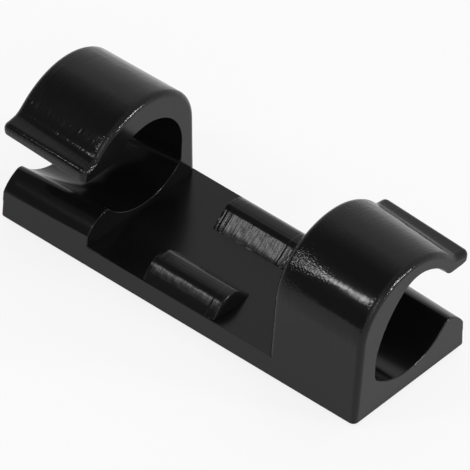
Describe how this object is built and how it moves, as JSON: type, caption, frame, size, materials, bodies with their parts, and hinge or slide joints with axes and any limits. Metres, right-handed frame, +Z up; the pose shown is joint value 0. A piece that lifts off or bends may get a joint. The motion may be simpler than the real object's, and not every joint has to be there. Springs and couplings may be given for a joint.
{
  "type": "adhesive cable clip",
  "caption": "Self-adhesive cable clip: a narrow plate with C-shaped hooks at its ends, open to opposite long sides, low ribs between them and a foam tape pad underneath.",
  "frame": {"origin": "centre of the footprint, on the surface the tape sticks to", "axes": "+X along the clip towards the hook that opens to +Y, +Y across it, +Z up from the surface"},
  "size_m": [0.0278, 0.0106, 0.0099],
  "materials": {
    "body_plastic": "glossy black",
    "foam_tape": "matt black foam tape"
  },
  "bodies": {
    "root": {"clip_body": "body_plastic", "adhesive_pad": "foam_tape"}
  },
  "joints": []
}
